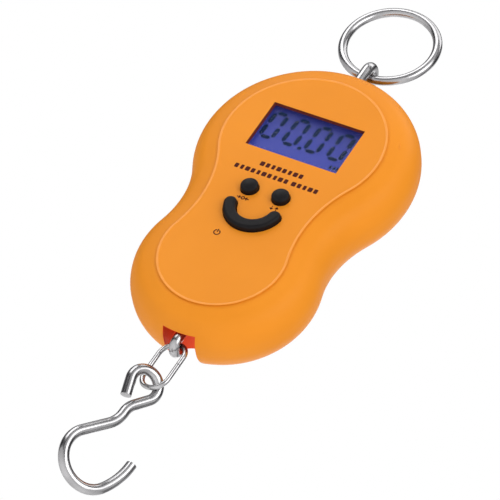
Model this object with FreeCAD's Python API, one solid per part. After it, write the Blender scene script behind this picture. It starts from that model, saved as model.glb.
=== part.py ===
import FreeCAD, Part
import math
import os

# Digital hanging scale. Millimetres, +X right, front faces -Y, +Z up.
# Parts are drawn about the upper lobe's centre on the parting plane, then moved
# so the ring's centre is the origin. "h" is height, "d" is distance in front.

V = FreeCAD.Vector
OUT = "parts"

UPPER_R = 35.6
LOWER_R = 29.5
LOBE_GAP = 49.9
WAIST_R = 33.2
CORE_INSET = 13.0
PANEL_INSET = 9.65
FRONT_D = 11.0
PANEL_D = 11.4
BACK_D = -13.2
WALL = 1.8
INNER_FRONT_D = 9.2
INNER_BACK_D = -11.6

ROD_D = 3.5
UPPER_ROD_R = 1.8
LOWER_ROD_R = 1.6
RING_WIRE_R = 1.5
RING_R = 15.2
RING_D = 0.0
RING_LOW_H = 40.3
RING_H = RING_LOW_H + RING_R
UPPER_BEND_R = ROD_D - RING_D

LINK_WIRE_R = 0.8
LINK_HALF_W = 4.5
LINK_TOP_H = -79.2
LINK_LENGTH = 17.6
LINK_D = 0.9
LINK_TURN = 14.0
LOWER_BEND_R = ROD_D - LINK_D
LINK_LOW_H = LINK_TOP_H - LINK_LENGTH

HOOK_WIRE_R = 1.7
HOOK_TURN = -45.0
HOOK_SHIFT = -1.48
HOOK_GAP = 1.85
HOOK_EYE_R = 4.8
HOOK_TAIL = (-2.88, 11.57)
SHANK_X = -0.24
SHANK_UPPER = 13.98
SHANK_LOWER = 19.63
HOOK_BOWL_R = 8.94
HOOK_BOWL_X = -0.28
HOOK_BOWL_V = 35.12
HOOK_BOWL_STOP = 330
HOOK_TIP = (10.8, 27.3)

WINDOW_W = 31.9
WINDOW_H = 18.9
WINDOW_C = 1.45

EYE_X = 5.44
EYE_H = -23.7
EYE_R = 2.8
SMILE_H = -30.0
SMILE_R = 7.8
SMILE_HALF = 2.0
SMILE_SPAN = 78.0
KEY_GAP = 0.25
FLANGE = 0.85

PCB_BACK_D = 5.4
PCB_FRONT_D = 6.6

CELL_X = 12.0
CELL_TOP_H = -46.0
CELL_LOW_H = -64.0
CELL_BACK_D = 0.6
CELL_FRONT_D = 6.6

BAY_X = 11.5
BAY_LOW_H = -33.5
BAY_TOP_H = 16.5
BAY_FLOOR_D = -0.9
DOOR_D = -11.8
AAA_R = 5.25
AAA_L = 44.5
AAA_D = -6.25
AAA_X = 5.4

SLOT_X = 5.5
SLOT_TOP_H = -69.0
SLOT_FRONT_D = 5.6


def at(x, h, d):
    return V(x, -d, h)


def box(x0, x1, h0, h1, d0, d1):
    return Part.makeBox(x1 - x0, d1 - d0, h1 - h0, V(x0, -d1, h0))


def cyl_y(x, h, d0, d1, r):
    """Round bar along the depth, from d0 forward to d1."""
    return Part.makeCylinder(r, d1 - d0, at(x, h, d0), V(0, -1, 0))


def cyl_z(x, d, h0, h1, r):
    return Part.makeCylinder(r, h1 - h0, at(x, h0, d), V(0, 0, 1))


def fuse(shapes):
    body = shapes[0]
    if len(shapes) > 1:
        body = body.multiFuse(shapes[1:])
    return body.removeSplitter()


def waist_centre():
    a = UPPER_R + WAIST_R
    b = LOWER_R + WAIST_R
    down = (a * a - b * b + LOBE_GAP * LOBE_GAP) / (2 * LOBE_GAP)
    return math.sqrt(a * a - down * down), -down


def sectors():
    """Centre, radius, inset sign, start angle and sweep of the outline's four arcs."""
    cx, ch = waist_centre()
    up = math.degrees(math.atan2(-ch, cx))
    low = math.degrees(math.atan2(ch + LOBE_GAP, cx))
    return [
        (0, 0, UPPER_R, -1, -up, 180 + 2 * up),
        (0, -LOBE_GAP, LOWER_R, -1, 180 - low, 180 + 2 * low),
        (cx, ch, WAIST_R, 1, 180 - up, up + low),
        (-cx, ch, WAIST_R, 1, -low, up + low),
    ]


def arc_points(sector, inset):
    x, h, r, sign, start, sweep = sector
    rr = r + sign * inset
    out = []
    for part in (0, 0.5, 1):
        a = math.radians(start + sweep * part)
        out.append((x + rr * math.cos(a), h + rr * math.sin(a)))
    return out


def outline(inset, d0, d1):
    """The body outline, moved in by inset and extruded between two depths."""
    edges = []
    for sector in sectors():
        p = [at(x, h, d0) for x, h in arc_points(sector, inset)]
        edges.append(Part.Arc(p[0], p[1], p[2]).toShape())
    wire = Part.Wire(Part.__sortEdges__(edges))
    return Part.Face(wire).extrude(V(0, d0 - d1, 0))


def rim(curve, base_d, start_tangent, end_tangent):
    """Solid band swept round the outline. curve is (inset, d) from the wall to the core."""
    band = []
    for x, h, r, sign, start, sweep in sectors():
        def place(inset, d):
            return at(x + r + sign * inset, h, d)

        spline = Part.BSplineCurve()
        t0 = V(sign * start_tangent[0], -start_tangent[1], 0)
        t1 = V(sign * end_tangent[0], -end_tangent[1], 0)
        spline.interpolate(
            Points=[place(i, d) for i, d in curve], InitialTangent=t0, FinalTangent=t1
        )
        last = curve[-1]
        corners = [
            place(last[0], last[1]),
            place(CORE_INSET, last[1]),
            place(CORE_INSET, base_d),
            place(curve[0][0], base_d),
            place(curve[0][0], curve[0][1]),
        ]
        edges = [spline.toShape()]
        for a, b in zip(corners, corners[1:]):
            edges.append(Part.makeLine(a, b))
        face = Part.Face(Part.Wire(edges))
        face.rotate(at(x, h, 0), V(0, -1, 0), start)
        band.append(face.revolve(at(x, h, 0), V(0, -1, 0), sweep))
    return band


def front_block(inset, low):
    """Outside of the front half, or its cavity when inset and low are a wall's thickness."""
    curve = [
        (0.0, 0.7),
        (0.35, 3.3),
        (1.15, 5.6),
        (2.35, 7.5),
        (3.8, 8.9),
        (5.4, 9.75),
        (7.3, 10.4),
        (9.65, 11.0),
    ]
    moved = [(i + inset, max(d - low, 0.35)) for i, d in curve]
    top = FRONT_D - low
    moved[-1] = (min(moved[-1][0], CORE_INSET - 0.5), top)
    band = rim(moved, 0.0, (0, 1), (1, 0.12))
    return fuse(band + [outline(CORE_INSET, 0.0, top)])


def rear_block(inset, wall):
    radius = -BACK_D - 1.0 - wall
    curve = []
    for step in range(9):
        a = math.radians(90 * step / 8)
        curve.append(
            (inset + radius * (1 - math.cos(a)), -1.0 - radius * math.sin(a))
        )
    curve[-1] = (min(curve[-1][0], CORE_INSET - 0.1), BACK_D + wall)
    band = rim(curve, 0.0, (0, -1), (1, 0))
    return fuse(band + [outline(CORE_INSET, BACK_D + wall, 0.0)])


def smile_bar(half, grow, d0, d1):
    """Curved bar with round ends, opening upward."""
    half = half + grow
    band = Part.makeCylinder(SMILE_R + half, d1 - d0, at(0, SMILE_H, d0), V(0, -1, 0))
    band = band.cut(
        Part.makeCylinder(SMILE_R - half, d1 - d0 + 2, at(0, SMILE_H, d0 - 1), V(0, -1, 0))
    )
    reach = 40.0
    a = math.radians(SMILE_SPAN)
    tip = (reach * math.sin(a), SMILE_H - reach * math.cos(a))
    corners = [
        at(0, SMILE_H, d0),
        at(tip[0], tip[1], d0),
        at(reach, SMILE_H - reach, d0),
        at(-reach, SMILE_H - reach, d0),
        at(-tip[0], tip[1], d0),
        at(0, SMILE_H, d0),
    ]
    wedge = Part.Face(Part.makePolygon(corners)).extrude(V(0, d0 - d1, 0))
    ends = []
    for side in (-1, 1):
        x = side * SMILE_R * math.sin(a)
        h = SMILE_H - SMILE_R * math.cos(a)
        ends.append(cyl_y(x, h, d0, d1, half))
    return fuse([band.common(wedge)] + ends)


def screw_posts():
    return [(-25.5, 10.0), (25.5, 10.0), (-17.0, -56.5), (17.0, -56.5)]


def board_posts():
    return [(-20.2, 13.2), (20.2, 13.2), (-19.0, -39.5), (19.0, -39.5)]


def slot_pocket(grow):
    """Room for the lower rod and link: straight at the front, arched at the back."""
    x = SLOT_X + grow
    low = -86.0
    front = box(-x, x, low, SLOT_TOP_H + grow, -2.0, SLOT_FRONT_D + grow)
    spring = SLOT_TOP_H - SLOT_X
    back = box(-x, x, low, spring, -16.0, -1.0)
    arch = cyl_y(0, spring, -16.0, -1.0, x)
    return fuse([front, back, arch])


def make_front_shell():
    shell = front_block(0.0, 0.0)
    panel = outline(PANEL_INSET, FRONT_D - 0.2, PANEL_D)
    rim_edges = []
    for edge in panel.Edges:
        if abs(edge.BoundBox.YMin + PANEL_D) < 1e-4 and edge.BoundBox.YLength < 1e-4:
            rim_edges.append(edge)
    panel = panel.makeFillet(0.22, rim_edges)
    shell = fuse([shell, panel])
    shell = shell.cut(front_block(WALL, WALL))
    posts = []
    for x, h in screw_posts():
        posts.append(cyl_y(x, h, 0.0, 10.0, 2.7))
    for x, h in board_posts():
        posts.append(cyl_y(x, h, PCB_FRONT_D, 10.0, 1.9))
    liner = slot_pocket(1.2).common(box(-20, 20, -79.0, -60, 0.0, 8.0))
    liner = liner.common(front_block(0.3, 0.3))
    shell = fuse([shell] + posts + [liner])
    cuts = [slot_pocket(0.0)]
    for x, h in screw_posts():
        cuts.append(cyl_y(x, h, -1.0, 8.0, 0.95))
    for x, h in board_posts():
        cuts.append(cyl_y(x, h, PCB_FRONT_D - 1, 9.0, 0.75))
    w = WINDOW_W / 2
    v = WINDOW_H / 2
    cuts.append(box(-w, w, WINDOW_C - v, WINDOW_C + v, 8.0, 12.0))
    cuts.append(box(-w - 1.3, w + 1.3, WINDOW_C - v - 1.3, WINDOW_C + v + 1.3, 8.0, 10.4))
    for side in (-1, 1):
        cuts.append(cyl_y(side * EYE_X, EYE_H, 8.0, 12.0, EYE_R + KEY_GAP))
    cuts.append(smile_bar(SMILE_HALF, KEY_GAP, 8.0, 12.0))
    cuts.append(cyl_z(0, ROD_D, 20.0, 40.0, UPPER_ROD_R + 0.4))
    cuts.append(cyl_z(0, ROD_D, -70.0, -66.0, LOWER_ROD_R + 0.4))
    return shell.cut(cuts).removeSplitter()


def bay_walls():
    outer = box(
        -BAY_X - 1.2, BAY_X + 1.2, BAY_LOW_H - 1.2, BAY_TOP_H + 1.2, -12.0, BAY_FLOOR_D + 1.2
    )
    inner = box(-BAY_X, BAY_X, BAY_LOW_H, BAY_TOP_H, -14.0, BAY_FLOOR_D)
    return outer, inner


def door_plate(gap):
    return box(
        -BAY_X - 2.3 - gap,
        BAY_X + 2.3 + gap,
        BAY_LOW_H - 2.0 - gap,
        BAY_TOP_H + 1.6 + gap,
        BACK_D - (3.0 if gap else 0.0),
        DOOR_D,
    )


def make_rear_shell():
    shell = rear_block(0.0, 0.0)
    shell = shell.cut(rear_block(WALL, WALL - 0.2))
    outer, inner = bay_walls()
    posts = [outer]
    inside = rear_block(0.4, 0.4)
    for x, h in screw_posts():
        posts.append(cyl_y(x, h, -13.0, 0.0, 2.7).common(inside))
    for x in (-9.5, 9.5):
        posts.append(cyl_y(x, -48.6, -12.5, CELL_BACK_D, 2.4))
    liner = slot_pocket(1.2).common(box(-20, 20, -79.0, -60, -13.0, 0.0)).common(inside)
    shell = fuse([shell] + posts + [liner])
    cuts = [inner, door_plate(0.3), slot_pocket(0.0)]
    for x, h in screw_posts():
        cuts.append(cyl_y(x, h, -14.0, 0.5, 1.25))
        cuts.append(cyl_y(x, h, -14.0, -9.0, 2.1))
    for x in (-9.5, 9.5):
        cuts.append(cyl_y(x, -48.6, -6.0, 1.0, 0.95))
    cuts.append(cyl_z(0, ROD_D, -70.0, -66.0, LOWER_ROD_R + 0.4))
    cuts.append(box(-3.0, 3.0, BAY_TOP_H - 1.2, BAY_TOP_H + 2, -5.0, -3.0))
    cuts.append(box(-4.0, 4.0, BAY_TOP_H - 0.2, BAY_TOP_H + 4.8, -14.0, -12.3))
    return shell.cut(cuts).removeSplitter()


def make_battery_door():
    plate = door_plate(0.0)
    long_edges = []
    for edge in plate.Edges:
        if edge.BoundBox.YLength > 1.0:
            long_edges.append(edge)
    plate = plate.makeFillet(1.2, long_edges)
    cuts = []
    for k in range(5):
        h = BAY_TOP_H - 3.5 - 1.6 * k
        cuts.append(box(-6.0, 6.0, h - 0.4, h + 0.4, BACK_D - 1, BACK_D + 0.45))
    return plate.cut(cuts)


def bent_rod(radius, h_end, h_bend, bend_r, direction, tail):
    """A rod that leaves the load cell, bends backward and ends in a flat cut."""
    start = at(0, h_end, ROD_D)
    front = at(0, h_bend, ROD_D)
    top = at(0, h_bend + direction * bend_r, ROD_D - bend_r)
    back = at(0, h_bend, ROD_D - 2 * bend_r)
    stop = at(0, h_bend - direction * tail, ROD_D - 2 * bend_r)
    path = Part.Wire(
        [
            Part.makeLine(start, front),
            Part.Arc(front, top, back).toShape(),
            Part.makeLine(back, stop),
        ]
    )
    ring = Part.Wire(Part.makeCircle(radius, start, V(0, 0, direction)))
    solid = path.makePipeShell([ring], True, False)
    return solid


def make_upper_eye():
    return bent_rod(UPPER_ROD_R, CELL_TOP_H - 3.2, RING_LOW_H, UPPER_BEND_R, 1, 1.6)


def make_lower_eye():
    return bent_rod(LOWER_ROD_R, CELL_LOW_H + 3.2, LINK_TOP_H, LOWER_BEND_R, -1, 1.4)


def make_hang_ring():
    return Part.makeTorus(RING_R, RING_WIRE_R, at(0, RING_H, RING_D), V(0, 1, 0))


def make_chain_link():
    """Oval of wire with its butt joint on the right leg."""
    w = LINK_HALF_W
    top = LINK_TOP_H - w
    low = LINK_LOW_H + w
    joint = (top + low) / 2 + 1.2
    gap = 0.12

    def p(x, h):
        return at(x, h, LINK_D)

    path = Part.Wire(
        [
            Part.makeLine(p(w, joint + gap), p(w, top)),
            Part.Arc(p(w, top), p(0, LINK_TOP_H), p(-w, top)).toShape(),
            Part.makeLine(p(-w, top), p(-w, low)),
            Part.Arc(p(-w, low), p(0, LINK_LOW_H), p(w, low)).toShape(),
            Part.makeLine(p(w, low), p(w, joint - gap)),
        ]
    )
    ring = Part.Wire(Part.makeCircle(LINK_WIRE_R, p(w, joint + gap), V(0, 0, 1)))
    solid = path.makePipeShell([ring], True, False)
    solid.rotate(at(0, 0, LINK_D), V(0, 0, -1), LINK_TURN)
    return solid


def hook_point(x, down):
    top_h = LINK_LOW_H + LINK_WIRE_R + HOOK_WIRE_R + HOOK_GAP
    return at(x + HOOK_SHIFT, top_h - down, LINK_D)


def on_circle(radius, centre_x, centre_down, degrees):
    """Point of the hook's plane on a circle about its centre line."""
    a = math.radians(degrees)
    return hook_point(centre_x + radius * math.cos(a), centre_down - radius * math.sin(a))


def arc_on_circle(radius, centre_x, centre_down, start, stop):
    ends = [start, (start + stop) / 2, stop]
    p = [on_circle(radius, centre_x, centre_down, a) for a in ends]
    return Part.Arc(p[0], p[1], p[2]).toShape()


def bend(before, corner, after, trim):
    """Tangent arc that rounds a corner, with the points where it starts and ends."""
    u = before.sub(corner).normalize()
    w = after.sub(corner).normalize()
    p0 = corner.add(V(u).multiply(trim))
    p1 = corner.add(V(w).multiply(trim))
    half = u.getAngle(w) / 2
    radius = trim * math.tan(half)
    middle = V(u).add(w).normalize()
    reach = trim / math.cos(half) - radius
    mid = corner.add(V(middle).multiply(reach))
    return p0, Part.Arc(p0, mid, p1).toShape(), p1


def touch_angle(circle, x, down, side):
    """Where the line from a point of the hook's plane touches a circle, in degrees."""
    radius, centre_x, centre_down = circle
    ux = x - centre_x
    uh = centre_down - down
    reach = math.acos(radius / math.hypot(ux, uh))
    return math.degrees(math.atan2(uh, ux) + side * reach)


def tangent_arc(before, start, end):
    """Arc that carries on from the line before-start and finishes at end."""
    along = start.sub(before).normalize()
    chord = end.sub(start)
    phi = along.getAngle(chord)
    radius = chord.Length / (2 * math.sin(phi))
    across = V(along).multiply(chord.Length).sub(V(chord).multiply(math.cos(phi))).normalize()
    middle = start.add(V(chord).multiply(0.5))
    middle = middle.add(V(across).multiply(radius * (1 - math.cos(phi))))
    return Part.Arc(start, middle, end).toShape()


def hook_edges():
    """Wire end, eye, two gentle bends of the shank, then the round bowl to its tip."""
    eye = (HOOK_EYE_R, 0.0, HOOK_EYE_R)
    bowl = (HOOK_BOWL_R, HOOK_BOWL_X, HOOK_BOWL_V)
    eye_first = touch_angle(eye, HOOK_TAIL[0], HOOK_TAIL[1], -1) + 360
    eye_last = touch_angle(eye, SHANK_X, SHANK_UPPER, 1)
    bowl_first = touch_angle(bowl, SHANK_X, SHANK_LOWER, 1)
    middle = (bowl_first + HOOK_BOWL_STOP) / 2
    eye_start = on_circle(*eye, eye_first)
    eye_stop = on_circle(*eye, eye_last)
    bowl_start = on_circle(*bowl, bowl_first)
    bowl_stop = on_circle(*bowl, HOOK_BOWL_STOP)
    just_before = on_circle(*bowl, HOOK_BOWL_STOP - 0.01)
    upper = hook_point(SHANK_X, SHANK_UPPER)
    lower = hook_point(SHANK_X, SHANK_LOWER)
    a0, arc_a, a1 = bend(eye_stop, upper, lower, 2.2)
    b0, arc_b, b1 = bend(upper, lower, bowl_start, 3.2)
    return [
        Part.makeLine(hook_point(*HOOK_TAIL), eye_start),
        arc_on_circle(*eye, eye_first, 90),
        arc_on_circle(*eye, 90, eye_last),
        Part.makeLine(eye_stop, a0),
        arc_a,
        Part.makeLine(a1, b0),
        arc_b,
        Part.makeLine(b1, bowl_start),
        arc_on_circle(*bowl, bowl_first, middle),
        arc_on_circle(*bowl, middle, HOOK_BOWL_STOP),
        tangent_arc(just_before, bowl_stop, hook_point(*HOOK_TIP)),
    ]


def make_hook():
    edges = hook_edges()
    start = edges[0].valueAt(edges[0].FirstParameter)
    along = edges[0].tangentAt(edges[0].FirstParameter)
    ring = Part.Wire(Part.makeCircle(HOOK_WIRE_R, start, along))
    solid = Part.Wire(edges).makePipeShell([ring], True, False)
    solid.rotate(at(0, 0, LINK_D), V(0, 0, -1), HOOK_TURN)
    return solid


def hex_nut(h0, h1, bore):
    flats = []
    for k in range(7):
        a = math.radians(60 * k)
        flats.append(at(3.1 * math.cos(a), h0, ROD_D + 3.1 * math.sin(a)))
    nut = Part.Face(Part.makePolygon(flats)).extrude(V(0, 0, h1 - h0))
    return nut.cut(cyl_z(0, ROD_D, h0 - 1, h1 + 1, bore))


def make_load_cell():
    """S-shaped block: two slots from opposite sides meet a square hole in the middle."""
    block = box(-CELL_X, CELL_X, CELL_LOW_H, CELL_TOP_H, CELL_BACK_D, CELL_FRONT_D)
    mid = (CELL_TOP_H + CELL_LOW_H) / 2
    cuts = [
        box(-CELL_X - 1, 7.5, mid + 3.6, mid + 4.8, 0, 8),
        box(-7.5, CELL_X + 1, mid - 4.8, mid - 3.6, 0, 8),
        box(-4.5, 4.5, mid - 2.4, mid + 2.4, 0, 8),
        cyl_z(0, ROD_D, CELL_TOP_H - 3.2, CELL_TOP_H + 1, UPPER_ROD_R),
        cyl_z(0, ROD_D, CELL_LOW_H - 1, CELL_LOW_H + 3.2, LOWER_ROD_R),
    ]
    for x in (-9.5, 9.5):
        cuts.append(cyl_y(x, -48.6, 0, 8, 1.15))
    return block.cut(cuts)


def make_strain_gauges():
    mid = (CELL_TOP_H + CELL_LOW_H) / 2
    left = box(-4.5, -4.35, mid - 1.8, mid + 1.8, 1.6, 5.6)
    right = box(4.35, 4.5, mid - 1.8, mid + 1.8, 1.6, 5.6)
    return Part.makeCompound([left, right])


def pan_screw(x, h, d_tip, d_seat, direction, shank, head, head_l):
    """Screw along the depth. direction is +1 when its head faces the front."""
    seat = d_seat
    tall = seat + direction * head_l
    body = cyl_y(x, h, min(d_tip, seat), max(d_tip, seat), shank)
    cap = cyl_y(x, h, min(seat, tall), max(seat, tall), head)
    screw = fuse([body, cap])
    slot_a = box(x - 0.9, x + 0.9, h - 0.2, h + 0.2, tall - 0.6, tall + 0.6)
    slot_b = box(x - 0.2, x + 0.2, h - 0.9, h + 0.9, tall - 0.6, tall + 0.6)
    return screw.cut([slot_a, slot_b])


def make_shell_screws():
    return Part.makeCompound(
        [pan_screw(x, h, 6.5, -9.0, -1, 0.95, 1.9, 1.4) for x, h in screw_posts()]
    )


def make_board_screws():
    return Part.makeCompound(
        [pan_screw(x, h, 8.6, PCB_BACK_D, -1, 0.75, 1.5, 1.0) for x, h in board_posts()]
    )


def make_cell_screws():
    return Part.makeCompound(
        [pan_screw(x, -48.6, -5.0, CELL_FRONT_D, 1, 0.95, 1.9, 1.2) for x in (-9.5, 9.5)]
    )


def make_board():
    top = box(-22.4, 22.4, -9.0, 15.6, PCB_BACK_D, PCB_FRONT_D)
    low = box(-21.6, 21.6, -42.5, -9.0, PCB_BACK_D, PCB_FRONT_D)
    board = fuse([top, low])
    cuts = [cyl_y(x, h, 5, 7, 0.85) for x, h in board_posts()]
    return board.cut(cuts)


def make_backlight():
    w = WINDOW_W / 2 + 0.9
    v = WINDOW_H / 2 + 0.9
    return box(-w, w, WINDOW_C - v, WINDOW_C + v, PCB_FRONT_D, 7.7)


def make_lcd_glass():
    w = WINDOW_W / 2 + 0.9
    v = WINDOW_H / 2 + 0.9
    return box(-w, w, WINDOW_C - v, WINDOW_C + v, 7.7, 9.1)


def make_lcd_lens():
    w = WINDOW_W / 2 + 1.1
    v = WINDOW_H / 2 + 1.1
    return box(-w, w, WINDOW_C - v, WINDOW_C + v, 9.35, 10.4)


def make_zebra_strip():
    v = WINDOW_C - WINDOW_H / 2 - 0.9
    return box(-14.0, 14.0, v - 2.0, v, PCB_FRONT_D, 9.1)


def make_round_key(side):
    x = side * EYE_X
    body = cyl_y(x, EYE_H, 8.2, 12.0, EYE_R)
    dome = Part.makeSphere(4.3, at(x, EYE_H, 13.8 - 4.3))
    cap = cyl_y(x, EYE_H, 11.9, 16.0, EYE_R).common(dome)
    flange = cyl_y(x, EYE_H, 8.2, 9.0, EYE_R + FLANGE)
    return fuse([body, cap, flange])


def make_smile_key():
    body = smile_bar(SMILE_HALF, 0.0, 8.2, 13.4)
    top = []
    for edge in body.Edges:
        if edge.BoundBox.YLength < 1e-4 and abs(edge.BoundBox.YMin + 13.4) < 1e-4:
            top.append(edge)
    body = body.makeFillet(1.1, top)
    flange = smile_bar(SMILE_HALF, FLANGE, 8.2, 9.0)
    return fuse([body, flange])


def make_tact_switches():
    out = []
    for x, h in ((-EYE_X, EYE_H), (EYE_X, EYE_H), (0.0, SMILE_H - SMILE_R)):
        can = box(x - 2.2, x + 2.2, h - 2.2, h + 2.2, PCB_FRONT_D, 7.4)
        out.append(fuse([can, cyl_y(x, h, 7.4, 7.7, 1.1)]))
    return Part.makeCompound(out)


def make_controller():
    """Round drop of potting over the controller, on the back of the board."""
    radius = 10.0
    ball = Part.makeSphere(radius, at(12.0, -16.0, PCB_BACK_D - 1.5 + radius))
    return ball.common(box(0, 24, -30, 0, 2.0, PCB_BACK_D))


def make_quartz_can():
    can = box(-15.5, -10.5, -13.6, -10.6, 3.2, PCB_BACK_D)
    tall = [e for e in can.Edges if e.BoundBox.YLength > 1.0]
    return can.makeFillet(1.3, tall)


def make_buzzer():
    disc = cyl_y(-12.0, -20.0, 2.6, PCB_BACK_D, 4.4)
    return disc.cut(cyl_y(-12.0, -20.0, 2.0, 3.4, 0.9))


def make_cell(side):
    x = side * AAA_X
    low = BAY_LOW_H + (2.9 if side > 0 else 1.9)
    can = cyl_z(x, AAA_D, low, low + AAA_L - 0.9, AAA_R)
    nub = cyl_z(x, AAA_D, low + AAA_L - 1.0, low + AAA_L, 1.9)
    cell = fuse([can, nub])
    if side < 0:
        cell.rotate(at(x, low + AAA_L / 2, AAA_D), V(0, 1, 0), 180)
    return cell


def make_contact_plates():
    plates = [
        box(-10.4, -0.6, BAY_LOW_H, BAY_LOW_H + 0.4, -10.8, -1.6),
        box(0.6, 10.4, BAY_LOW_H, BAY_LOW_H + 0.4, -10.8, -1.6),
        box(-10.4, 10.4, BAY_TOP_H - 0.4, BAY_TOP_H, -10.8, -1.6),
    ]
    return Part.makeCompound(plates)


def pressed_coil(x, h0):
    """A coil spring pressed nearly solid: three turns that touch."""
    turns = []
    for k in range(3):
        turns.append(
            Part.makeTorus(2.6 - 0.15 * k, 0.4, at(x, h0 + 0.42 + 0.74 * k, AAA_D), V(0, 0, 1))
        )
    return fuse(turns)


def make_battery_springs():
    right = pressed_coil(AAA_X, BAY_LOW_H + 0.4)
    left = pressed_coil(-AAA_X, BAY_TOP_H - 0.4 - 2.34)
    return Part.makeCompound([right, left])


def wire_run(points, r):
    path = Part.makePolygon(points)
    a = points[0]
    along = points[1].sub(points[0])
    ring = Part.Wire(Part.makeCircle(r, a, along))
    return path.makePipeShell([ring], True, False)


def make_gauge_wires():
    out = []
    for k in range(4):
        x = 4.6 + 1.1 * k
        out.append(
            wire_run(
                [at(x, -45.9, 4.4), at(x, -38.5, 4.4), at(x, -37.0, 4.9)],
                0.35,
            )
        )
    return Part.makeCompound(out)


def make_battery_wires():
    out = []
    for side in (-1, 1):
        x = side * 14.6
        out.append(
            wire_run(
                [at(x, BAY_LOW_H + 3.0, -6.0), at(x, BAY_LOW_H + 3.0, 2.0), at(x, -27.4, 4.8)],
                0.5,
            )
        )
    return Part.makeCompound(out)


def save(name, shape):
    solid = shape.copy()
    solid.translate(V(0, 0, -RING_H))
    solid.exportStep(os.path.join(OUT, name + ".step"))
    print(name, "solids", len(solid.Solids), "valid", solid.isValid(), round(solid.Volume, 2))


def main():
    os.makedirs(OUT, exist_ok=True)
    nodes = {
        "hang_ring": make_hang_ring,
        "upper_eye": make_upper_eye,
        "lower_eye": make_lower_eye,
        "upper_nut": lambda: hex_nut(CELL_TOP_H, CELL_TOP_H + 2.4, UPPER_ROD_R),
        "lower_nut": lambda: hex_nut(CELL_LOW_H - 2.4, CELL_LOW_H, LOWER_ROD_R),
        "chain_link": make_chain_link,
        "hook": make_hook,
        "front_shell": make_front_shell,
        "rear_shell": make_rear_shell,
        "battery_door": make_battery_door,
        "shell_screws": make_shell_screws,
        "lcd_lens": make_lcd_lens,
        "lcd_glass": make_lcd_glass,
        "lcd_backlight": make_backlight,
        "zebra_strip": make_zebra_strip,
        "button_left": lambda: make_round_key(-1),
        "button_right": lambda: make_round_key(1),
        "button_smile": make_smile_key,
        "tact_switches": make_tact_switches,
        "main_board": make_board,
        "board_screws": make_board_screws,
        "controller_drop": make_controller,
        "quartz_can": make_quartz_can,
        "buzzer": make_buzzer,
        "load_cell": make_load_cell,
        "cell_screws": make_cell_screws,
        "strain_gauges": make_strain_gauges,
        "gauge_wires": make_gauge_wires,
        "battery_wires": make_battery_wires,
        "battery_left": lambda: make_cell(-1),
        "battery_right": lambda: make_cell(1),
        "battery_springs": make_battery_springs,
        "contact_plates": make_contact_plates,
    }
    for name, build in nodes.items():
        save(name, build())


main()
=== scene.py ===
import bpy
import bmesh
import math
from mathutils import Matrix, Vector


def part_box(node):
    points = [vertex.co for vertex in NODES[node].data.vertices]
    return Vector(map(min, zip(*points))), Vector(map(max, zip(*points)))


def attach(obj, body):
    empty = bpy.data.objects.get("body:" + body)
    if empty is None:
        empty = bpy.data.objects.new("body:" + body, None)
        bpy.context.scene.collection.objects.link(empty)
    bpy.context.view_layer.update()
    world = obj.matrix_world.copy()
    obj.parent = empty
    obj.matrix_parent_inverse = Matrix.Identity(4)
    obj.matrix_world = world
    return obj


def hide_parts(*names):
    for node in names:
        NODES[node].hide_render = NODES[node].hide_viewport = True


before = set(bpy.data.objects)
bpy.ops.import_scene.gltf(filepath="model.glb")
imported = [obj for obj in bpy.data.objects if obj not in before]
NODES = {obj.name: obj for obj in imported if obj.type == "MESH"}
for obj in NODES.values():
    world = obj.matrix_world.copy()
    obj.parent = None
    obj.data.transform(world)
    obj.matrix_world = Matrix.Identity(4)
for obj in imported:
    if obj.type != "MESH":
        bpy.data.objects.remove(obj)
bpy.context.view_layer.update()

MM = 0.001

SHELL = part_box("front_shell")
FRONT_Y = SHELL[0].y
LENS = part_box("lcd_lens")
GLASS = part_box("lcd_glass")
WINDOW = Vector(((LENS[0].x + LENS[1].x) / 2, 0, (LENS[0].z + LENS[1].z) / 2))

# The housing is two round lobes joined by two hollow waists.
UPPER_R = 35.6 * MM
LOWER_R = 29.5 * MM
LOBE_GAP = 49.9 * MM
WAIST_R = 33.2 * MM
LOBE_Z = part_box("rear_shell")[1].z - UPPER_R
SLOT_HALF_WIDTH = 5.56 * MM
SLOT_FRONT = 5.66 * MM
SLOT_TOP_Z = LOBE_Z - 68.94 * MM

PANEL_INSET = 9.65 * MM
BEAD_HALF = 0.42 * MM
BEAD_TALL = 0.045 * MM

WINDOW_SIZE = (31.9 * MM, 18.9 * MM)
# Wall and corner radius of the dark sheet that paints shade on the display window's walls.
SHADE_SHEET_WALL = 0.42 * MM
SHADE_SHEET_CORNER_R = 0.35 * MM

KEY_R = 2.8 * MM
KEY_ROLL_R = 0.75 * MM
KEY_DOME_RISE = 0.42 * MM
FLANGE_TALL = 0.8 * MM
FLANGE_CHAMFER = 0.1 * MM
KEY_ARC_STEPS = 8

DIGIT_COUNT = 4
DIGIT_WIDTH = 4.2 * MM
DIGIT_HEIGHT = 10.4 * MM
DIGIT_PITCH = 7.9 * MM
DIGIT_SLANT = 0.05
SEGMENT_HALF = 0.74 * MM
SEGMENT_GAP = 0.30 * MM
POINT_R = 0.7 * MM
UNIT_BARS = 3
UNIT_PITCH = 1.25 * MM
UNIT_BAR = (0.8 * MM, 1.5 * MM)

PRINT_TALL = 1.75 * MM
PRINT_FRONT_Y = FRONT_Y - 0.02 * MM
PRINT_BACK_Y = FRONT_Y + 0.02 * MM
GROUP_SPACE = 0.4
SYMBOL_DROP = 4.35 * MM

# Sockets of a Mix node when it mixes colours.
MIX_COLOR_A, MIX_COLOR_B, MIX_COLOR_OUT = 6, 7, 2


# ---------- small mesh helpers ----------

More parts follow.
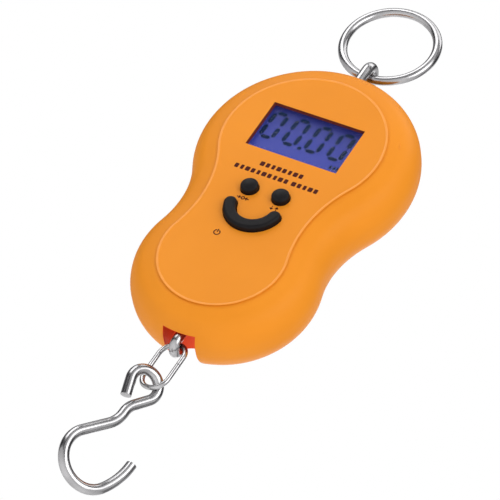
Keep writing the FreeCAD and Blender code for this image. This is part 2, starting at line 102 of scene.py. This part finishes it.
def new_mesh(name, verts, faces, smooth_angle=None):
    mesh = bpy.data.meshes.new(name)
    mesh.from_pydata([tuple(v) for v in verts], [], faces)
    mesh.validate()
    work = bmesh.new()
    work.from_mesh(mesh)
    bmesh.ops.recalc_face_normals(work, faces=work.faces)
    work.to_mesh(mesh)
    work.free()
    if smooth_angle is not None:
        for polygon in mesh.polygons:
            polygon.use_smooth = True
        mesh.set_sharp_from_angle(angle=math.radians(smooth_angle))
    obj = bpy.data.objects.new(name, mesh)
    bpy.context.scene.collection.objects.link(obj)
    return obj


def lathe(name, profile, centre, turns=72):
    """Profile of (radius, depth in front of the panel) spun round a line along Y."""
    verts, faces = [], []
    rows = len(profile)
    for i in range(turns):
        a = 2 * math.pi * i / turns
        for radius, ahead in profile:
            verts.append((
                centre[0] + radius * math.cos(a),
                FRONT_Y - ahead,
                centre[1] + radius * math.sin(a),
            ))
    for i in range(turns):
        j = (i + 1) % turns
        for k in range(rows - 1):
            faces.append((i * rows + k, i * rows + k + 1, j * rows + k + 1, j * rows + k))
    faces.append([i * rows for i in range(turns)])
    faces.append([i * rows + rows - 1 for i in reversed(range(turns))])
    return new_mesh(name, verts, faces, 35)


def prism(verts, faces, outline, y_front, y_back):
    """Adds a closed flat plate with this (x, z) outline to two lists."""
    start = len(verts)
    n = len(outline)
    for y in (y_front, y_back):
        for x, z in outline:
            verts.append((x, y, z))
    faces.append([start + i for i in range(n)])
    faces.append([start + n + i for i in reversed(range(n))])
    for i in range(n):
        j = (i + 1) % n
        faces.append((start + i, start + j, start + n + j, start + n + i))


def stroke_outline(points, half, steps=6):
    """Outline of a line of constant width with round ends."""
    left, right = [], []
    for i, p in enumerate(points):
        a = points[max(i - 1, 0)]
        b = points[min(i + 1, len(points) - 1)]
        along = math.atan2(b[1] - a[1], b[0] - a[0])
        nx, nz = -math.sin(along), math.cos(along)
        left.append((p[0] + nx * half, p[1] + nz * half))
        right.append((p[0] - nx * half, p[1] - nz * half))

    def cap(p, q):
        turn = math.atan2(p[1] - q[1], p[0] - q[0])
        out = []
        for k in range(1, steps):
            a = turn - math.pi / 2 + math.pi * k / steps
            out.append((p[0] + half * math.cos(a), p[1] + half * math.sin(a)))
        return out

    head = cap(points[-1], points[-2])
    tail = cap(points[0], points[1])
    return right + head + left[::-1] + tail


def arc_points(cx, cz, radius, start, stop, steps):
    out = []
    for i in range(steps + 1):
        a = math.radians(start + (stop - start) * i / steps)
        out.append((cx + radius * math.cos(a), cz + radius * math.sin(a)))
    return out


# ---------- materials ----------

def make_material(name):
    mat = bpy.data.materials.new(name)
    mat.use_nodes = True
    tree = mat.node_tree
    shader = tree.nodes["Principled BSDF"]
    return mat, tree, shader


def set_inputs(shader, **values):
    for key, value in values.items():
        shader.inputs[key.replace("_", " ")].default_value = value


def object_coords(tree):
    coords = tree.nodes.new("ShaderNodeTexCoord")
    return coords.outputs["Object"]


def split_coords(tree):
    """The object's coordinates as three separate values."""
    split = tree.nodes.new("ShaderNodeSeparateXYZ")
    tree.links.new(object_coords(tree), split.inputs["Vector"])
    return split.outputs


def noise(tree, vector, scale, detail=3.0, roughness=0.5):
    node = tree.nodes.new("ShaderNodeTexNoise")
    node.inputs["Scale"].default_value = scale
    node.inputs["Detail"].default_value = detail
    node.inputs["Roughness"].default_value = roughness
    tree.links.new(vector, node.inputs["Vector"])
    return node.outputs["Fac"]


def ramp(tree, value, stops):
    node = tree.nodes.new("ShaderNodeValToRGB")
    elements = node.color_ramp.elements
    while len(elements) < len(stops):
        elements.new(0.5)
    for element, (position, color) in zip(elements, stops):
        element.position = position
        element.color = (color[0], color[1], color[2], 1)
    tree.links.new(value, node.inputs["Fac"])
    return node.outputs["Color"]


def remap(tree, value, low, high):
    node = tree.nodes.new("ShaderNodeMapRange")
    node.inputs["To Min"].default_value = low
    node.inputs["To Max"].default_value = high
    tree.links.new(value, node.inputs["Value"])
    return node.outputs["Result"]


def add_bump(tree, shader, height, strength, distance):
    node = tree.nodes.new("ShaderNodeBump")
    node.inputs["Strength"].default_value = strength
    node.inputs["Distance"].default_value = distance
    tree.links.new(height, node.inputs["Height"])
    tree.links.new(node.outputs["Normal"], shader.inputs["Normal"])


def below(tree, value, limit):
    """1 where a value is less than a limit, else 0."""
    node = tree.nodes.new("ShaderNodeMath")
    node.operation = "LESS_THAN"
    node.inputs[1].default_value = limit
    tree.links.new(value, node.inputs[0])
    return node.outputs["Value"]


def multiply(tree, first, second):
    node = tree.nodes.new("ShaderNodeMath")
    node.operation = "MULTIPLY"
    tree.links.new(first, node.inputs[0])
    tree.links.new(second, node.inputs[1])
    return node.outputs["Value"]


def slot_shade_mask(tree):
    """1 on the walls of the slot in the lower end, where painted shade goes, 0 on the rest of the
    housing.
    """
    place = split_coords(tree)
    width = tree.nodes.new("ShaderNodeMath")
    width.operation = "ABSOLUTE"
    tree.links.new(place["X"], width.inputs[0])
    ahead = tree.nodes.new("ShaderNodeMath")
    ahead.operation = "MULTIPLY"
    ahead.inputs[1].default_value = -1.0
    tree.links.new(place["Y"], ahead.inputs[0])
    across = below(tree, width.outputs["Value"], SLOT_HALF_WIDTH)
    behind = below(tree, ahead.outputs["Value"], SLOT_FRONT)
    under = below(tree, place["Z"], SLOT_TOP_Z)
    return multiply(tree, multiply(tree, across, behind), under)


def orange_plastic():
    """Satin moulded plastic: fine spark texture, faint flow variation, and painted shade in a deeper
    red inside the slot.
    """
    mat, tree, shader = make_material("orange_moulded_plastic")
    set_inputs(shader, IOR=1.45, Specular_IOR_Level=0.15)
    vector = object_coords(tree)
    flow = noise(tree, vector, 28, 4)
    color = ramp(tree, flow, [(0.3, (0.76, 0.250, 0.015)), (0.7, (0.81, 0.275, 0.019))])
    # Painted shade: the walls inside the slot are mixed to a deeper red in place of the shade there.
    mix = tree.nodes.new("ShaderNodeMix")
    mix.data_type = "RGBA"
    tree.links.new(slot_shade_mask(tree), mix.inputs["Factor"])
    tree.links.new(color, mix.inputs[MIX_COLOR_A])
    mix.inputs[MIX_COLOR_B].default_value = (0.80, 0.070, 0.012, 1)
    tree.links.new(mix.outputs[MIX_COLOR_OUT], shader.inputs["Base Color"])
    gloss = noise(tree, vector, 220, 5, 0.6)
    tree.links.new(remap(tree, gloss, 0.42, 0.54), shader.inputs["Roughness"])
    grain = noise(tree, vector, 2600, 2, 0.6)
    add_bump(tree, shader, grain, 0.10, 0.00006)
    return mat


def black_rubber():
    mat, tree, shader = make_material("black_silicone_rubber")
    vector = object_coords(tree)
    dust = noise(tree, vector, 900, 4, 0.65)
    set_inputs(shader, Specular_IOR_Level=0.16)
    color = ramp(tree, dust, [(0.35, (0.004, 0.0036, 0.0044)), (0.75, (0.008, 0.007, 0.008))])
    tree.links.new(color, shader.inputs["Base Color"])
    tree.links.new(remap(tree, dust, 0.42, 0.60), shader.inputs["Roughness"])
    grain = noise(tree, vector, 3200, 2)
    add_bump(tree, shader, grain, 0.15, 0.00005)
    return mat


def polished_steel():
    """Plated drawn wire: mid grey metal, softly uneven along its length."""
    mat, tree, shader = make_material("polished_wire_steel")
    set_inputs(shader, Metallic=1.0)
    vector = object_coords(tree)
    cloud = noise(tree, vector, 140, 3)
    color = ramp(tree, cloud, [(0.3, (0.36, 0.355, 0.36)), (0.7, (0.50, 0.495, 0.50))])
    tree.links.new(color, shader.inputs["Base Color"])
    wear = noise(tree, vector, 420, 3, 0.55)
    tree.links.new(remap(tree, wear, 0.16, 0.28), shader.inputs["Roughness"])
    return mat


def plated_steel():
    mat, tree, shader = make_material("zinc_plated_steel")
    set_inputs(shader, Metallic=1.0)
    vector = object_coords(tree)
    cloud = noise(tree, vector, 700, 4)
    color = ramp(tree, cloud, [(0.3, (0.42, 0.42, 0.41)), (0.7, (0.58, 0.57, 0.55))])
    tree.links.new(color, shader.inputs["Base Color"])
    tree.links.new(remap(tree, cloud, 0.25, 0.45), shader.inputs["Roughness"])
    add_bump(tree, shader, cloud, 0.1, 0.00004)
    return mat


def plain(name, dark, light, rough, scale=400, metal=0.0, gloss=0.5):
    """Even finish with a fine grain that varies its colour and roughness a little."""
    mat, tree, shader = make_material(name)
    set_inputs(shader, Metallic=metal, Specular_IOR_Level=gloss)
    vector = object_coords(tree)
    grain = noise(tree, vector, scale, 4)
    tree.links.new(ramp(tree, grain, [(0.3, dark), (0.7, light)]), shader.inputs["Base Color"])
    tree.links.new(remap(tree, grain, rough - 0.06, rough + 0.06), shader.inputs["Roughness"])
    add_bump(tree, shader, grain, 0.1, 0.00005)
    return mat


def display_glass():
    """Backlit blue display, brighter toward its lower edge."""
    mat, tree, shader = make_material("backlit_blue_display")
    set_inputs(shader, Roughness=0.4, Specular_IOR_Level=0.2)
    height = tree.nodes.new("ShaderNodeMapRange")
    height.inputs["From Min"].default_value = GLASS[0].z
    height.inputs["From Max"].default_value = GLASS[1].z
    tree.links.new(split_coords(tree)["Z"], height.inputs["Value"])
    color = ramp(tree, height.outputs["Result"], [
        (0.05, (0.040, 0.056, 0.36)), (0.55, (0.034, 0.045, 0.29)), (0.95, (0.022, 0.027, 0.18)),
    ])
    tree.links.new(color, shader.inputs["Base Color"])
    tree.links.new(color, shader.inputs["Emission Color"])
    set_inputs(shader, Emission_Strength=0.30)
    return mat


def clear_lens():
    mat, tree, shader = make_material("clear_display_window")
    set_inputs(shader, Base_Color=(0.03, 0.04, 0.09, 1), Alpha=0.07, Specular_IOR_Level=0.2)
    smear = noise(tree, object_coords(tree), 90, 3)
    tree.links.new(remap(tree, smear, 0.03, 0.09), shader.inputs["Roughness"])
    return mat


MATS = {
    "orange": orange_plastic(),
    "rubber": black_rubber(),
    "steel": polished_steel(),
    "zinc": plated_steel(),
    "display": display_glass(),
    "lens": clear_lens(),
    "digits": plain("display_segment", (0.003, 0.016, 0.055), (0.005, 0.022, 0.075), 0.5, gloss=0.1),
    # Painted highlight: a lighter orange for the bead on the panel edge.
    "bead": plain("painted_highlight_orange_edge", (0.80, 0.275, 0.020), (0.85, 0.30, 0.028), 0.36, 300, gloss=0.3),
    # Painted shade: dark maroon for the shadowed walls of the display window.
    "rim": plain("painted_shade_window_wall", (0.085, 0.008, 0.006), (0.12, 0.013, 0.008), 0.6, gloss=0.2),
    "print": plain("maroon_print_ink", (0.050, 0.006, 0.003), (0.080, 0.010, 0.005),
                   0.6, 1800, gloss=0.12),
    "diffuser": plain("frosted_diffuser", (0.6, 0.62, 0.65), (0.7, 0.72, 0.75), 0.5),
    "board": plain("green_solder_mask", (0.01, 0.075, 0.025), (0.015, 0.11, 0.04), 0.35, 900),
    "resin": plain("black_potting_resin", (0.01, 0.01, 0.011), (0.02, 0.02, 0.022), 0.3, 300),
    "aluminium": plain("machined_aluminium", (0.55, 0.55, 0.56), (0.7, 0.7, 0.71), 0.35, 1500, 1.0),
    "film": plain("amber_gauge_film", (0.5, 0.22, 0.03), (0.62, 0.3, 0.05), 0.4, 800),
    "wire": plain("red_wire_jacket", (0.3, 0.012, 0.01), (0.4, 0.02, 0.015), 0.45, 500),
    "jacket": plain("cell_jacket_film", (0.02, 0.021, 0.024), (0.035, 0.036, 0.04), 0.28, 200),
}

NODE_MATERIAL = {
    "hang_ring": "steel", "upper_eye": "steel", "lower_eye": "steel",
    "chain_link": "steel", "hook": "steel",
    "upper_nut": "zinc", "lower_nut": "zinc", "shell_screws": "zinc", "board_screws": "zinc",
    "cell_screws": "zinc", "quartz_can": "zinc", "battery_springs": "zinc",
    "contact_plates": "zinc",
    "front_shell": "orange", "rear_shell": "orange", "battery_door": "orange",
    "lcd_lens": "lens", "lcd_glass": "display", "lcd_backlight": "diffuser",
    "zebra_strip": "rubber", "button_left": "rubber", "button_right": "rubber",
    "button_smile": "rubber", "tact_switches": "resin", "main_board": "board",
    "controller_drop": "resin", "buzzer": "resin", "load_cell": "aluminium",
    "strain_gauges": "film", "gauge_wires": "wire", "battery_wires": "wire",
    "battery_left": "jacket", "battery_right": "jacket",
}


def paint_nodes():
    for name, obj in NODES.items():
        obj.data.materials.clear()
        obj.data.materials.append(MATS[NODE_MATERIAL[name]])


def finish_piece(obj, body, material):
    obj.data.materials.append(MATS[material])
    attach(obj, body)
    return obj


# ---------- detailed pieces ----------

def round_key(side):
    """Rubber key: flange under the shell, straight side, rolled edge, low dome."""
    node = "button_" + side
    low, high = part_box(node)
    centre = ((low.x + high.x) / 2, (low.z + high.z) / 2)
    flange = (high.x - low.x) / 2
    foot = FRONT_Y - high.y
    crown = FRONT_Y - low.y
    rim_ahead = crown - KEY_DOME_RISE
    flat = KEY_R - KEY_ROLL_R
    profile = [
        (0.2 * MM, foot),
        (flange - FLANGE_CHAMFER, foot),
        (flange, foot + FLANGE_CHAMFER),
        (flange, foot + FLANGE_TALL - FLANGE_CHAMFER),
        (flange - FLANGE_CHAMFER, foot + FLANGE_TALL),
        (KEY_R, foot + FLANGE_TALL),
        (KEY_R, -0.5 * MM),
        (KEY_R, rim_ahead - KEY_ROLL_R),
    ]
    for k in range(1, KEY_ARC_STEPS + 1):
        a = math.radians(90 * k / KEY_ARC_STEPS)
        profile.append((
            flat + KEY_ROLL_R * math.cos(a), rim_ahead - KEY_ROLL_R + KEY_ROLL_R * math.sin(a)
        ))
    for k in range(1, KEY_ARC_STEPS + 1):
        r = flat * (1 - k / (KEY_ARC_STEPS + 0.5))
        profile.append((r, rim_ahead + (crown - rim_ahead) * (1 - (r / flat) ** 2)))
    profile.append((0.05 * MM, crown))
    key = lathe("key_" + side + "_rubber", profile, centre)
    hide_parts(node)
    return finish_piece(key, "key_" + side, "rubber")


# The six bars of a zero, between corners of a box two units wide and two tall.
ZERO_SEGMENTS = (
    ((-1, 1), (1, 1)), ((1, 1), (1, 0)), ((1, 0), (1, -1)),
    ((-1, -1), (1, -1)), ((-1, 0), (-1, -1)), ((-1, 1), (-1, 0)),
)


def segment_outline(a, b, half, gap):
    """Six-sided bar between two corners of a digit."""
    dx, dz = b[0] - a[0], b[1] - a[1]
    length = math.hypot(dx, dz)
    ux, uz = dx / length, dz / length
    nx, nz = -uz, ux
    out = []
    for along, across in (
        (gap, 0), (gap + half, half), (length - gap - half, half),
        (length - gap, 0), (length - gap - half, -half), (gap + half, -half),
    ):
        out.append((a[0] + ux * along + nx * across, a[1] + uz * along + nz * across))
    return out


def display_digits():
    """Four zeros, a point in the middle and a mark of three bars, laid on the display glass."""
    verts, faces = [], []
    centre = Vector((WINDOW.x - 0.7 * MM, 0, WINDOW.z + 2.3 * MM))
    y_front = GLASS[0].y - 0.03 * MM
    y_back = GLASS[0].y + 0.02 * MM
    for index in range(DIGIT_COUNT):
        cx = centre.x + (index - (DIGIT_COUNT - 1) / 2) * DIGIT_PITCH

        def corner(p):
            z = p[1] * DIGIT_HEIGHT / 2
            return (cx + p[0] * DIGIT_WIDTH / 2 + DIGIT_SLANT * z, centre.z + z)

        for start, stop in ZERO_SEGMENTS:
            outline = segment_outline(corner(start), corner(stop), SEGMENT_HALF, SEGMENT_GAP)
            prism(verts, faces, outline, y_front, y_back)
    dot_z = centre.z - DIGIT_HEIGHT / 2 - 0.1 * MM
    prism(verts, faces, arc_points(centre.x, dot_z, POINT_R, 0, 345, 23), y_front, y_back)
    unit_x = WINDOW.x + 11.6 * MM
    unit_z = WINDOW.z - 6.9 * MM
    wide, tall = UNIT_BAR
    for k in range(UNIT_BARS):
        x = unit_x + k * UNIT_PITCH
        bar = [(x, unit_z), (x + wide, unit_z), (x + wide, unit_z + tall), (x, unit_z + tall)]
        prism(verts, faces, bar, y_front, y_back)
    digits = new_mesh("display_digits", verts, faces)
    return finish_piece(digits, "housing", "digits")


def rounded_rect(cx, cz, w, h, r, steps=5):
    out = []
    for sx, sz, start in ((1, -1, -90), (1, 1, 0), (-1, 1, 90), (-1, -1, 180)):
        x = cx + sx * (w / 2 - r)
        z = cz + sz * (h / 2 - r)
        out += arc_points(x, z, r, start, start + 90, steps)
    return out


def window_rim():
    """Thin dark sheet round the display opening's walls, painted shade for the shadowed window walls,
    with a bevelled front edge.
    """
    w, h = WINDOW_SIZE
    depth_back = LENS[0].y - 0.01 * MM
    depth_front = FRONT_Y + 0.12 * MM
    rings = [
        (w - 0.02 * MM, h - 0.02 * MM, depth_back),
        (w - 0.02 * MM, h - 0.02 * MM, depth_front),
        (w - SHADE_SHEET_WALL * 0.9, h - SHADE_SHEET_WALL * 0.9, depth_front + 0.22 * MM),
        (w - 2 * SHADE_SHEET_WALL, h - 2 * SHADE_SHEET_WALL, depth_back),
    ]
    verts, faces = [], []
    outlines = [rounded_rect(WINDOW.x, WINDOW.z, a, b, SHADE_SHEET_CORNER_R) for a, b, _ in rings]
    n = len(outlines[0])
    for outline, (_, _, y) in zip(outlines, rings):
        verts += [(x, y, z) for x, z in outline]
    for k in range(len(rings)):
        m = (k + 1) % len(rings)
        for i in range(n):
            j = (i + 1) % n
            faces.append((k * n + i, k * n + j, m * n + j, m * n + i))
    rim = new_mesh("window_wall_painted_shade", verts, faces, 30)
    return finish_piece(rim, "housing", "rim")


def print_block(verts, faces, x, z, w, h):
    outline = rounded_rect(x, z, w, h, min(w, h) * 0.2, 2)
    prism(verts, faces, outline, PRINT_FRONT_Y, PRINT_BACK_Y)


def print_stroke(verts, faces, points, half):
    prism(verts, faces, stroke_outline(points, half), PRINT_FRONT_Y, PRINT_BACK_Y)


def block_row(verts, faces, z, reach, groups):
    """A row of plain blocks of uneven width, in groups, in place of a printed line."""
    count = sum(groups) + GROUP_SPACE * (len(groups) - 1)
    pitch = 2 * reach / count
    x = -reach
    for group in groups:
        for k in range(group):
            wide = pitch * (0.66 + 0.12 * ((k * 2 + group) % 3 - 1))
            print_block(verts, faces, x + pitch / 2, z, wide, PRINT_TALL)
            x += pitch
        x += GROUP_SPACE * pitch


def zero_symbol(verts, faces, cx, cz):
    """A small ring between two arrows that point at it, for the key that sets zero."""
    for side in (-1, 1):
        tip = (cx + side * 0.9 * MM, cz)
        print_stroke(verts, faces, [(cx + side * 1.9 * MM, cz), tip], 0.19 * MM)
        for lean in (1, -1):
            barb = (cx + side * 1.3 * MM, cz + lean * 0.45 * MM)
            print_stroke(verts, faces, [barb, tip], 0.17 * MM)
    print_stroke(verts, faces, arc_points(cx, cz, 0.5 * MM, 0, 350, 24), 0.18 * MM)


def swap_symbol(verts, faces, cx, cz):
    """One arrow down and one arrow up, for the key that changes the unit."""
    for side in (-1, 1):
        x = cx + side * 0.8 * MM
        print_stroke(verts, faces, [(x, cz - 0.6 * MM), (x, cz + 0.6 * MM)], 0.14 * MM)
        tip = cz + side * 0.6 * MM
        for lean in (-1, 1):
            barb = (x + lean * 0.42 * MM, tip - side * 0.42 * MM)
            print_stroke(verts, faces, [barb, (x, tip)], 0.17 * MM)


def power_symbol(verts, faces, cx, cz):
    """A broken ring with a bar in its gap."""
    print_stroke(verts, faces, arc_points(cx, cz, 0.95 * MM, 125, 415, 24), 0.19 * MM)
    print_stroke(verts, faces, [(cx, cz + 0.25 * MM), (cx, cz + 1.2 * MM)], 0.19 * MM)


def face_print():
    """Plain marks where such a face has printing: two block rows and three key symbols."""
    verts, faces = [], []
    block_row(verts, faces, LOBE_Z - 13.4 * MM, 7.7 * MM, (8,))
    block_row(verts, faces, LOBE_Z - 17.0 * MM, 14.8 * MM, (10, 5))
    low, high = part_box("button_left")
    symbol_z = (low.z + high.z) / 2 - SYMBOL_DROP
    zero_symbol(verts, faces, (low.x + high.x) / 2, symbol_z)
    low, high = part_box("button_right")
    swap_symbol(verts, faces, (low.x + high.x) / 2, symbol_z)
    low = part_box("button_smile")[0]
    power_symbol(verts, faces, low.x + 4.6 * MM, low.z - 2.6 * MM)
    marks = new_mesh("face_print_marks", verts, faces)
    return finish_piece(marks, "housing", "print")


def panel_outline():
    """The raised panel's edge: two lobes joined by two hollow waists, anticlockwise."""
    long_a, long_b = UPPER_R + WAIST_R, LOWER_R + WAIST_R
    down = (long_a ** 2 - long_b ** 2 + LOBE_GAP ** 2) / (2 * LOBE_GAP)
    cx, cz = math.sqrt(long_a ** 2 - down ** 2), LOBE_Z - down
    up = math.degrees(math.atan2(down, cx))
    low = math.degrees(math.atan2(LOBE_GAP - down, cx))
    waist = WAIST_R + PANEL_INSET
    points = arc_points(0, LOBE_Z, UPPER_R - PANEL_INSET, -up, 180 + up, 96)
    points += arc_points(-cx, cz, waist, up, -low, 28)[1:-1]
    points += arc_points(0, LOBE_Z - LOBE_GAP, LOWER_R - PANEL_INSET, 180 - low, 360 + low, 84)
    points += arc_points(cx, cz, waist, 180 + low, 180 - up, 28)[1:-1]
    return points


def panel_bead():
    """Low rounded bead on the edge of the raised panel, which catches the light; its lighter orange is
    a painted highlight along the edge.
    """
    points = panel_outline()
    verts, faces = [], []
    n = len(points)
    section = [(BEAD_HALF * math.cos(a), BEAD_TALL * math.sin(a))
               for a in [math.pi * k / 6 for k in range(7)]]
    section.append((0, -BEAD_TALL))
    rows = len(section)
    for i in range(n):
        a, b = points[i - 1], points[(i + 1) % n]
        along = math.atan2(b[1] - a[1], b[0] - a[0])
        for side, ahead in section:
            verts.append((
                points[i][0] - math.sin(along) * side,
                FRONT_Y - ahead + 0.01 * MM,
                points[i][1] + math.cos(along) * side,
            ))
    for i in range(n):
        j = (i + 1) % n
        for k in range(rows):
            m = (k + 1) % rows
            faces.append((i * rows + k, j * rows + k, j * rows + m, i * rows + m))
    bead = new_mesh("panel_edge_bead", verts, faces, 60)
    return finish_piece(bead, "housing", "bead")


def build_pieces():
    paint_nodes()
    round_key("left")
    round_key("right")
    display_digits()
    window_rim()
    face_print()
    panel_bead()


# ---------- stage, light and camera ----------

def pale_floor():
    reach, z = 15.0, -1.0
    verts = [(-reach, -reach, z), (reach, -reach, z), (reach, reach, z), (-reach, reach, z)]
    floor = new_mesh("studio_floor", verts, [(0, 1, 2, 3)])
    mat, tree, shader = make_material("pale_floor")
    set_inputs(shader, Base_Color=(0.9, 0.9, 0.9, 1), Roughness=0.8)
    set_inputs(shader, Emission_Color=(1, 1, 1, 1), Emission_Strength=0.58)
    floor.data.materials.append(mat)


def studio_world():
    """White where it is seen directly; grey with darker bands where it lights or is mirrored."""
    world = bpy.data.worlds.new("studio")
    bpy.context.scene.world = world
    world.use_nodes = True
    tree = world.node_tree
    tree.nodes.clear()
    out = tree.nodes.new("ShaderNodeOutputWorld")
    seen = tree.nodes.new("ShaderNodeBackground")
    seen.inputs["Color"].default_value = (1, 1, 1, 1)
    light = tree.nodes.new("ShaderNodeBackground")
    light.inputs["Strength"].default_value = 0.86
    coords = tree.nodes.new("ShaderNodeTexCoord")
    bands = tree.nodes.new("ShaderNodeTexNoise")
    bands.inputs["Scale"].default_value = 1.6
    bands.inputs["Detail"].default_value = 1.0
    tree.links.new(coords.outputs["Generated"], bands.inputs["Vector"])
    color = ramp(tree, bands.outputs["Fac"], [
        (0.40, (0.05, 0.05, 0.055)), (0.49, (0.42, 0.42, 0.43)), (0.60, (0.95, 0.95, 0.96)),
    ])
    tree.links.new(color, light.inputs["Color"])
    path = tree.nodes.new("ShaderNodeLightPath")
    mix = tree.nodes.new("ShaderNodeMixShader")
    tree.links.new(path.outputs["Is Camera Ray"], mix.inputs["Fac"])
    tree.links.new(light.outputs["Background"], mix.inputs[1])
    tree.links.new(seen.outputs["Background"], mix.inputs[2])
    tree.links.new(mix.outputs["Shader"], out.inputs["Surface"])


LIT_POINT = (0, 0, -0.07)

# Each lamp's name, place in metres, width and height in metres, and power in watts.
LAMPS = (
    ("key", (-0.70, -0.85, 0.75), (0.9, 0.9), 6.4),
    ("fill", (0.85, -0.65, 0.10), (0.7, 0.9), 5.2),
    ("top", (0.1, -0.15, 0.9), (0.8, 0.6), 3.0),
    ("back", (-0.2, 0.9, 0.1), (0.9, 0.9), 2.5),
)

CAMERA_LENS_MM = 239.85
CAMERA_SENSOR_MM = 36.0
CAMERA_PLACE = (0.40516, -0.75844, -0.62759)
CAMERA_AZIMUTH, CAMERA_ELEVATION, CAMERA_ROLL = 28.063, -31.885, 35.097


def soft_light(name, location, target, size, power):
    data = bpy.data.lights.new(name, "AREA")
    data.shape = "RECTANGLE"
    data.size, data.size_y = size
    data.energy = power
    lamp = bpy.data.objects.new(name, data)
    lamp.location = location
    lamp.rotation_mode = "QUATERNION"
    aim = Vector(target) - Vector(location)
    lamp.rotation_quaternion = aim.to_track_quat("-Z", "Y")
    bpy.context.scene.collection.objects.link(lamp)


def photo_camera():
    """Long lens, below and to the right of the front face, rolled to the side."""
    data = bpy.data.cameras.new("photo_camera")
    data.sensor_width = CAMERA_SENSOR_MM
    data.lens = CAMERA_LENS_MM
    data.clip_start, data.clip_end = 0.05, 20.0
    camera = bpy.data.objects.new("photo_camera", data)
    camera.location = CAMERA_PLACE
    azimuth = math.radians(CAMERA_AZIMUTH)
    elevation = math.radians(CAMERA_ELEVATION)
    roll = math.radians(CAMERA_ROLL)
    back = Vector((
        math.sin(azimuth) * math.cos(elevation),
        -math.cos(azimuth) * math.cos(elevation),
        math.sin(elevation),
    ))
    level = (-back).to_track_quat("-Z", "Y")
    camera.rotation_mode = "QUATERNION"
    camera.rotation_quaternion = level @ Matrix.Rotation(roll, 3, "Z").to_quaternion()
    bpy.context.scene.collection.objects.link(camera)
    bpy.context.scene.camera = camera


def build_stage():
    pale_floor()
    studio_world()
    for name, location, size, power in LAMPS:
        soft_light(name, location, LIT_POINT, size, power)
    photo_camera()
    scene = bpy.context.scene
    scene.view_settings.view_transform = "Standard"
    scene.view_settings.look = "None"


build_pieces()
build_stage()

bpy.context.view_layer.update()
